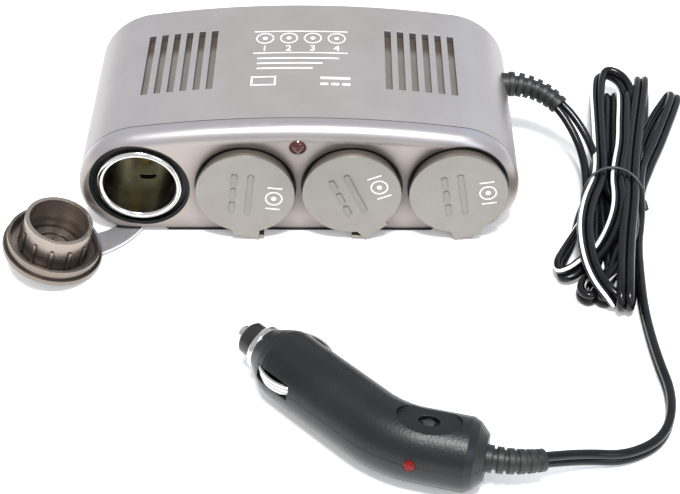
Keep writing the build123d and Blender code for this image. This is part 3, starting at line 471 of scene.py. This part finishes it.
# Cord: flat twin cord of two black vinyl cores side by side, one with a white stripe. It comes out of
# the case, is folded up and down in a hank of five turns and runs on round to the plug.
def along(points):
    """Points along one smooth curve that has these as its control points."""
    curve = bpy.data.curves.new("route", "CURVE")
    curve.dimensions = "3D"
    spline = curve.splines.new("NURBS")
    spline.points.add(len(points) - 1)
    for knot, point in zip(spline.points, points):
        knot.co = (*point, 1.0)
    spline.order_u = 3
    spline.use_endpoint_u = True
    spline.resolution_u = 8
    holder = bpy.data.objects.new("route", curve)
    scene.collection.objects.link(holder)
    line = [v.co.copy() for v in bpy.data.meshes.new_from_object(holder).vertices]
    bpy.data.objects.remove(holder)
    return line


def heading(line, k):
    """The way that a line of points runs at one of them."""
    return (line[min(k + 1, len(line) - 1)] - line[max(k - 1, 0)]).normalized()


flat_r, flat_l, up, down = (1, 0, 0), (-1, 0, 0), (0, 0, 1), (0, 0, -1)
cord_route = [  # place in mm, then the side on which the striped core lies
    # out of the case and down to the foot of the hank
    (80.86, 8.8, 17.9, (0.72, 0.55, 0)), (81.92, 7.84, 17.18, (0.72, 0.55, 0)),
    (84.6, 5.2, 15.4, (0.75, 0.5, 0)), (87.6, 0.8, 12.6, (0.78, 0.5, 0)),
    (90.0, -4.6, 9.6, (0.85, 0.4, 0)), (90.9, -11.5, 7.2, flat_r), (90.0, -19.5, 5.8, flat_r),
    (89.2, -29.0, 4.2, flat_r), (87.8, -40.0, 3.6, flat_r), (87.2, -49.0, 3.5, (0.8, 0, 0.6)),
    (85.6, -56.0, 3.3, up), (82.6, -59.4, 2.9, up), (81.9, -62.9, 2.6, up), (84.3, -65.1, 2.6, up),
    # first turn, up and down
    (86.2, -63.0, 2.6, up), (87.4, -56.5, 2.2, (0.8, 0, 0.6)), (89.4, -48.0, 1.3, flat_r),
    (92.4, -38.5, 1.3, flat_r), (96.4, -29.0, 1.3, flat_r), (100.6, -19.5, 1.5, flat_r),
    (101.6, -10.0, 2.4, (0.7, 0, -0.7)), (102.4, 0.0, 2.8, down), (104.2, 10.0, 4.4, (-0.6, 0, -0.8)),
    (106.6, 19.0, 5.8, (-0.9, -0.2, -0.4)), (108.2, 26.0, 7.0, (-0.93, -0.26, -0.29)),
    (107.2, 32.5, 8.2, (-0.9, -0.25, -0.35)), (104.6, 36.3, 8.7, (-0.5, -0.1, -0.85)),
    (101.0, 37.6, 8.9, (-0.25, 0.2, -0.95)), (98.6, 33.4, 8.9, (-0.85, 0.2, -0.45)),
    (97.1, 25.2, 8.8, (-0.95, 0, -0.3)), (96.0, 16.5, 8.7, flat_l), (95.1, 6.0, 8.7, flat_l),
    (94.2, -4.0, 8.7, flat_l), (93.3, -13.0, 8.7, flat_l), (91.8, -19.5, 8.6, flat_l),
    (89.2, -25.5, 8.7, flat_l), (86.9, -32.5, 8.9, flat_l), (85.2, -40.5, 8.9, flat_l),
    (84.7, -49.0, 8.7, flat_l), (85.3, -57.0, 8.1, flat_l), (87.4, -63.0, 6.8, flat_l),
    (90.4, -66.6, 5.4, flat_l),
    # second turn
    (93.0, -67.4, 3.2, flat_l), (92.2, -63.0, 1.5, flat_l), (92.6, -56.0, 2.6, flat_l),
    (92.8, -49.0, 3.6, flat_l), (93.0, -39.5, 3.7, flat_l), (93.6, -29.0, 3.8, flat_l),
    (94.0, -19.5, 3.9, flat_l), (96.0, -10.0, 3.8, flat_l), (98.9, 0.0, 3.8, flat_l),
    (101.7, 10.0, 3.9, flat_l), (104.2, 19.0, 3.9, flat_l), (105.8, 25.0, 4.0, flat_l),
    (105.8, 28.6, 5.6, flat_l), (105.9, 27.0, 8.2, flat_l), (105.0, 19.0, 8.8, flat_l),
    (103.4, 9.5, 8.9, flat_l), (101.9, -1.5, 8.9, flat_l), (99.4, -11.0, 8.9, flat_l),
    (97.6, -19.5, 8.9, flat_l), (97.4, -26.0, 8.6, flat_l), (96.4, -32.0, 7.9, flat_l),
    (94.4, -38.0, 7.0, (-0.9, 0.3, 0)), (91.4, -44.0, 6.0, (-0.8, 0.5, 0.2)),
    (87.9, -49.0, 5.8, (-0.6, 0.5, 0.6)), (84.0, -52.2, 5.0, (-0.45, 0.55, 0.7)),
    (80.3, -55.0, 3.8, (-0.35, 0.63, 0.68)), (76.9, -55.6, 3.2, (-0.3, 0.4, 0.85)),
    # third turn
    (76.7, -51.0, 3.0, (-0.4, 0.2, 0.9)), (79.4, -45.6, 2.9, (-0.3, 0.1, 0.95)), (82.3, -39.5, 2.8, up),
    (84.9, -33.0, 2.4, (0.5, 0, 0.85)), (87.4, -26.5, 1.9, (0.95, 0, 0.3)), (90.4, -19.5, 1.5, flat_r),
    (92.6, -10.0, 1.4, flat_r), (95.4, 0.0, 1.3, flat_r), (98.0, 11.0, 1.3, flat_r),
    (100.2, 20.0, 1.3, flat_r), (101.8, 26.6, 1.6, flat_r), (102.5, 29.8, 3.6, flat_r),
    (102.2, 28.0, 6.6, flat_r), (101.2, 20.0, 7.2, flat_r), (99.8, 10.0, 6.8, flat_r),
    (98.4, -1.0, 6.5, flat_r), (96.8, -10.5, 6.4, flat_r), (95.6, -19.5, 6.4, flat_r),
    (97.2, -27.0, 5.8, (0.6, 0, -0.8)), (98.1, -35.0, 4.7, (-0.3, 0, -0.95)),
    (98.2, -42.0, 3.6, (-0.9, 0, -0.4)), (98.0, -50.0, 1.7, flat_l), (97.0, -58.0, 1.3, flat_l),
    (95.2, -65.4, 1.4, flat_l), (93.9, -69.6, 3.0, flat_l),
    # fourth turn
    (93.5, -69.6, 6.6, flat_l), (94.2, -63.5, 8.7, flat_l), (95.8, -53.0, 8.7, flat_l),
    (97.6, -43.0, 8.7, flat_l), (99.7, -33.0, 8.7, flat_l), (101.3, -25.0, 8.6, flat_l),
    (102.0, -19.5, 8.6, flat_l), (103.6, -10.0, 8.7, flat_l), (105.9, 1.0, 8.7, flat_l),
    (108.2, 11.5, 8.7, flat_l), (110.6, 22.0, 8.7, flat_l), (112.6, 31.2, 8.6, flat_l),
    (113.7, 37.0, 7.0, flat_l), (114.1, 37.2, 3.2, flat_l), (113.8, 31.5, 1.4, flat_l),
    (112.2, 22.0, 1.3, flat_l), (109.7, 11.0, 1.6, flat_l), (107.0, 0.0, 3.0, flat_l),
    (104.0, -10.0, 4.6, flat_l), (101.0, -19.5, 5.2, (-0.7, 0, 0.7)), (100.9, -26.5, 6.2, (0.2, 0, 1)),
    (100.4, -34.0, 6.4, (0.8, 0, 0.5)), (98.8, -41.0, 6.2, flat_r), (95.8, -48.0, 6.1, flat_r),
    (92.8, -54.0, 5.2, (0.8, 0, 0.6)), (90.0, -58.6, 3.6, up), (87.4, -61.6, 2.8, up),
    (87.0, -64.8, 2.6, up),
    # fifth turn
    (89.6, -65.8, 2.6, up), (91.0, -62.0, 2.3, (0.8, 0, 0.6)), (92.6, -55.0, 1.4, flat_r),
    (94.6, -48.0, 1.3, flat_r), (97.4, -39.5, 1.3, flat_r), (101.2, -29.0, 1.3, flat_r),
    (104.2, -19.5, 2.4, flat_r), (105.8, -10.0, 2.2, (0.95, -0.1, -0.1)),
    (108.3, 0.0, 2.6, (0.9, -0.3, -0.25)), (111.9, 9.5, 2.9, (0.84, -0.37, -0.4)),
    (116.1, 18.5, 3.3, (0.84, -0.37, -0.4)), (120.4, 25.8, 3.8, (0.86, -0.25, -0.45)),
    (123.0, 29.6, 4.8, (0.9, -0.1, -0.45)), (123.6, 27.2, 6.6, (0.9, 0, -0.45)),
    (121.0, 20.0, 6.9, (0.9, 0, -0.45)), (117.2, 10.6, 6.6, (0.9, 0, -0.45)),
    (113.2, 0.6, 6.5, (0.9, 0, -0.45)), (108.9, -8.6, 6.5, (0.9, 0, -0.4)),
    (105.2, -19.5, 6.4, (0.3, 0, -0.95)), (104.5, -26.0, 5.2, down), (103.4, -34.0, 3.4, down),
    # on round to the plug
    (101.4, -43.0, 2.6, down), (100.1, -57.0, 2.6, down), (99.2, -71.0, 2.6, down),
    (100.0, -88.0, 2.6, down), (102.2, -103.5, 2.6, down), (98.0, -117.0, 2.5, down),
    (87.0, -123.6, 2.7, down), (76.0, -124.6, 4.7, down), (64.06, -128.86, 8.55, down),
    (62.3, -129.45, 8.9, down)]
cord_w = 0.0051
core_r = cord_w / 4
core_sides, stripe_sides = 24, (3, 4, 5)
core_off = core_r * 0.97  # the two skins run into each other a little
split_run, split_gap = 40.0 * mm, 0.7 * mm  # the cores part a little where the cord leaves the case
edge_off = 5.0  # mm from the middle of the cord to the line that turns it
cord_line = along([Vector(p[:3]) * mm for p in cord_route])
cord_edge = along([(Vector(p[:3]) + Vector(p[3]).normalized() * edge_off) * mm for p in cord_route])
verts, faces, stripe_faces = [], [], []
run = 0.0
for k, here in enumerate(cord_line):
    ahead = heading(cord_line, k)
    aside = cord_edge[k] - here
    aside = (aside - ahead * aside.dot(ahead)).normalized()
    outward = aside.cross(ahead)
    run += (here - cord_line[k - 1]).length if k else 0.0
    split = math.sin(min(run / split_run, 1.0) * math.pi) * split_gap
    for core in (1, -1):
        middle = here + aside * core * (core_off + split)
        for j in range(core_sides):
            a = j / core_sides * math.tau
            verts.append(middle + (aside * math.cos(a) + outward * math.sin(a)) * core_r)
ring = 2 * core_sides
for k in range(len(cord_line) - 1):
    for core in (0, 1):
        for j in range(core_sides):
            a = k * ring + core * core_sides + j
            b = k * ring + core * core_sides + (j + 1) % core_sides
            faces.append((a, a + ring, b + ring, b))
            stripe_faces.append(core == 0 and j in stripe_sides)
for core in (0, 1):
    first = core * core_sides
    last = (len(cord_line) - 1) * ring + first
    faces.append(tuple(range(first, first + core_sides)))
    faces.append(tuple(reversed(range(last, last + core_sides))))
    stripe_faces += [False, False]
cord_mesh = bpy.data.meshes.new("twin_cord")
cord_mesh.from_pydata(verts, [], faces)
cord_black = surface(
    "cord_black", dark=(0.003, 0.003, 0.0035), light=(0.007, 0.007, 0.008), patch=300.0,
    rough=(0.15, 0.22), grain=1800.0, depth=0.00002, shine=0.3)
cord_white = surface(
    "cord_white", dark=(0.80, 0.80, 0.79), light=(0.88, 0.88, 0.87), patch=300.0,
    rough=(0.3, 0.4), grain=1800.0, depth=0.00002)
twin_cord = add_piece("twin_cord", cord_mesh, cord_black, cord_white)
for polygon, striped in zip(cord_mesh.polygons, stripe_faces):
    polygon.use_smooth = True
    polygon.material_index = 1 if striped else 0
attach(twin_cord, "housing")
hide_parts("cord_lead_in", "cord_hank", "cord_lead_out")


# Tie: a black coated wire bent by hand round the waist of the hank, its two ends twisted together at
# the right.
def round_wire(name, line, radius, finish, sides=10):
    """A round wire along a line of points."""
    verts, faces = [], []
    side = Vector((0.3, 0.2, 1.0))
    for k, here in enumerate(line):
        ahead = heading(line, k)
        side = (side - ahead * side.dot(ahead)).normalized()
        other = ahead.cross(side)
        for j in range(sides):
            a = j / sides * math.tau
            verts.append(here + (side * math.cos(a) + other * math.sin(a)) * radius)
    for k in range(len(line) - 1):
        for j in range(sides):
            a, b = k * sides + j, k * sides + (j + 1) % sides
            faces.append((a, b, b + sides, a + sides))
    faces.append(tuple(reversed(range(sides))))
    faces.append(tuple(range((len(line) - 1) * sides, len(line) * sides)))
    mesh = bpy.data.meshes.new(name)
    mesh.from_pydata(verts, [], faces)
    for polygon in mesh.polygons:
        polygon.use_smooth = True
    return add_piece(name, mesh, finish)


tie_r, tail_turns, tail_steps = 0.0005, 3, 40
tie_route = [  # in mm
    (105.4, -24.4, 4.4), (105.9, -23.4, 6.4), (105.0, -21.4, 8.6), (103.0, -18.8, 10.3),
    (100.4, -16.6, 11.0), (97.0, -15.4, 11.2), (93.3, -15.9, 10.9), (90.0, -17.9, 9.9), (87.8, -20.6, 7.8),
    (87.0, -21.8, 4.4), (87.4, -22.4, 1.4), (90.5, -22.8, 0.6), (97.0, -23.2, 0.55), (102.6, -23.6, 0.6),
    (105.2, -24.0, 1.6), (105.9, -24.4, 3.6), (105.7, -24.6, 4.6)]
tie_wire = round_wire("tie_wire", along([Vector(p) * mm for p in tie_route]), tie_r, wire_skin)
tail_from, tail_to = Vector((105.7, -24.2, 4.8)) * mm, Vector((105.9, -27.6, 4.4)) * mm
tail_way = (tail_to - tail_from).normalized()
tail_side = tail_way.cross(Vector((0, 0, 1))).normalized()
tail_top = tail_side.cross(tail_way)
tail_pieces = []
for half in (0, 1):
    tail_line = []
    for k in range(tail_steps + 1):
        share = k / tail_steps
        a = half * math.pi + share * tail_turns * math.tau
        off = (tail_side * math.cos(a) + tail_top * math.sin(a)) * tie_r
        tail_line.append(tail_from.lerp(tail_to, share) + off)
    tail_pieces.append(round_wire(f"tie_tail_{half + 1}", tail_line, tie_r, wire_skin))
for wire_piece in [tie_wire] + tail_pieces:
    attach(wire_piece, "housing")
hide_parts("cord_tie")

# Plug: two black half shells screwed together round a fuse, its spring and the side contacts. A bright
# ring screws on at the front and holds the nose with the sprung tip; a red lamp sits in the joint.
shells_z, shells_half = 12.6 * mm, 0.5 * mm  # the joint of the half shells
ridges_z, ridge_half, ridge_dark = (11.9 * mm, 13.3 * mm), 0.12 * mm, (0.12, 0.12, 0.12)
bright_nickel = surface(
    "bright_nickel", dark=(0.52, 0.52, 0.51), light=(0.64, 0.64, 0.63), patch=500.0,
    rough=(0.10, 0.18), grain=2500.0, depth=0.000006, metallic=1.0, edge=0.0003)
plug_black = surface(
    "plug_black", dark=(0.003, 0.0035, 0.004), light=(0.007, 0.008, 0.009), patch=80.0,
    rough=(0.33, 0.41), grain=1500.0, depth=0.00011, edge=0.0005, shine=0.4)
joint_line(plug_black, reach(plug_black, to_top), shells_z, shells_half, colour=(0.0, 0.0, 0.0))
nose_black = surface(
    "nose_black", dark=(0.004, 0.004, 0.004), light=(0.010, 0.010, 0.010), patch=200.0,
    rough=(0.3, 0.4), grain=2500.0, depth=0.00002, edge=0.0003)
lamp_red = surface(
    "lamp_red", dark=(0.13, 0.002, 0.003), light=(0.22, 0.004, 0.005), patch=400.0,
    rough=(0.08, 0.14), grain=900.0, depth=0.00001, shine=0.25)
fuse_glass = surface(
    "fuse_glass", dark=(0.75, 0.78, 0.78), light=(0.82, 0.84, 0.84), patch=300.0,
    rough=(0.05, 0.1), grain=900.0, depth=0.000005)
# Painted shade: the screw's steel is made dark for the shade of the deep hole it sits in.
shaded_screw_steel = surface(
    "shaded_screw_steel", dark=(0.07, 0.07, 0.068), light=(0.12, 0.12, 0.115), patch=600.0,
    rough=(0.3, 0.4), grain=4000.0, depth=0.00001, metallic=1.0)
contact_spring = bright_nickel.copy()
contact_spring.name = "contact_spring"
for ridge_z in ridges_z:
    joint_line(contact_spring, reach(contact_spring, to_top), ridge_z, ridge_half, ridge_dark)
dress(plug_black, "plug_shell_upper", "plug_shell_lower")
dress(nose_black, "plug_nose")
dress(bright_nickel, "plug_ring", "plug_tip")
dress(contact_spring, "plug_contact_near", "plug_contact_far")
dress(shaded_screw_steel, "plug_screw")
dress(zinc, "tip_spring")
dress(fuse_glass, "plug_fuse")
dress(lamp_red, "plug_led")


# Studio: a white table lit from below, a wide soft light above the front, three weaker cool ones at the
# sides and in front, and an even white surround.
def soft_light(name, place, target, size, watts, colour):
    """A wide flat lamp turned to a point of the table."""
    data = bpy.data.lights.new(name, "AREA")
    data.shape = "RECTANGLE"
    data.size, data.size_y = size
    data.energy = watts
    data.color = colour
    lamp = bpy.data.objects.new(name, data)
    lamp.location = place
    lamp.rotation_euler = (Vector(target) - Vector(place)).to_track_quat("-Z", "Y").to_euler()
    scene.collection.objects.link(lamp)


white, table_half = (1.0, 1.0, 1.0), 3.0
floor_mesh = bpy.data.meshes.new("floor")
corners = [(x * table_half, y * table_half, 0.0) for x, y in ((-1, -1), (1, -1), (1, 1), (-1, 1))]
floor_mesh.from_pydata(corners, [], [(0, 1, 2, 3)])
floor_white = surface(
    "floor_white", dark=(0.97, 0.97, 0.97), light=(0.985, 0.985, 0.985), patch=3.0,
    rough=(0.6, 0.7), grain=300.0, depth=0.00002)
floor_shader = floor_white.node_tree.nodes["Principled BSDF"]
floor_shader.inputs["Emission Color"].default_value = (*white, 1.0)
floor_shader.inputs["Emission Strength"].default_value = 0.2
floor = add_piece("floor", floor_mesh, floor_white)
housing_middle = (0.0, 0.0, 0.02)
soft_light("light_above", place=(0.05, -0.5, 1.3), target=(0.02, -0.06, 0.0), size=(0.34, 0.22),
           watts=22.0, colour=white)
soft_light("light_left", place=(-0.7, 0.7, 0.7), target=housing_middle, size=(0.9, 0.9),
           watts=0.6, colour=(0.3, 0.5, 1.0))
soft_light("light_right", place=(0.7, 0.7, 0.7), target=housing_middle, size=(0.9, 0.9),
           watts=1.2, colour=(0.4, 0.6, 1.0))
soft_light("light_front", place=(0.6, -0.8, 0.7), target=(0.03, -0.03, 0.02), size=(0.4, 0.4),
           watts=2.0, colour=(0.70, 0.82, 1.0))
scene.world = bpy.data.worlds.new("surround")
scene.world.use_nodes = True
surround = scene.world.node_tree.nodes["Background"]
surround.inputs["Color"].default_value = (*white, 1.0)
surround.inputs["Strength"].default_value = 0.72
scene.view_settings.view_transform = "Standard"

# Camera: above the front of the object, looking down on it as in the photograph. Its focal length is
# the one fitted to the picture's width in pixels.
picture_w, focal_pixels, sensor_w = 680, 1463.8, 36.0
look_down, look_left = 42.63, 0.18  # degrees
camera = bpy.data.objects.new("camera", bpy.data.cameras.new("camera"))
camera.data.sensor_width = sensor_w
camera.data.lens = focal_pixels / picture_w * sensor_w
camera.location = (0.01332, -0.3655, 0.2996)
camera.rotation_euler = (math.radians(90 - look_down), 0.0, math.radians(look_left))
camera.data.clip_start = 0.01
scene.collection.objects.link(camera)
scene.camera = camera
